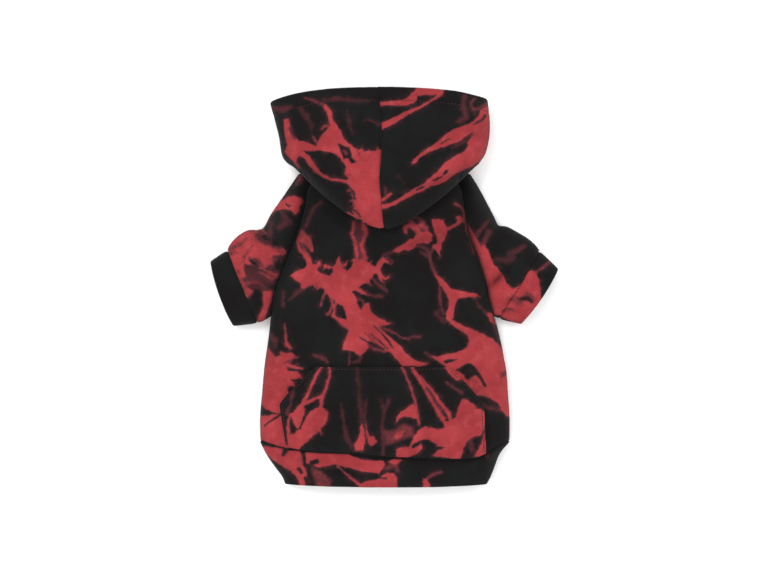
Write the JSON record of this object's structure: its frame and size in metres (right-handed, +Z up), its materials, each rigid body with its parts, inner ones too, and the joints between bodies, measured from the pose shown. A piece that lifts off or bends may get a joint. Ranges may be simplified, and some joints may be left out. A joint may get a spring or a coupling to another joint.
{
  "type": "dog hoodie",
  "caption": "Small dog's red and black tie-dye fleece pullover hoodie laid flat, back up, with short raglan sleeves, ribbed cuffs, a pouch pocket and its hood thrown back.",
  "frame": {"origin": "middle of the laid garment, on the floor", "axes": "+Z up from the floor, +Y from the hem to the hood, +X towards the sleeve on the right when seen from above"},
  "size_m": [0.2806, 0.3189, 0.0492],
  "materials": {
    "fleece": "brushed fleece, tie-dyed in red and black",
    "rib": "soft rib knit, black with some red"
  },
  "bodies": {
    "root": {"back_panel": "fleece", "belly_panel": "fleece", "hem_band_back": "fleece", "hem_band_belly": "fleece", "left_sleeve": "fleece", "right_sleeve": "fleece", "left_cuff": "rib", "right_cuff": "rib", "hood_left": "fleece", "hood_right": "fleece", "pocket": "fleece"}
  },
  "joints": []
}
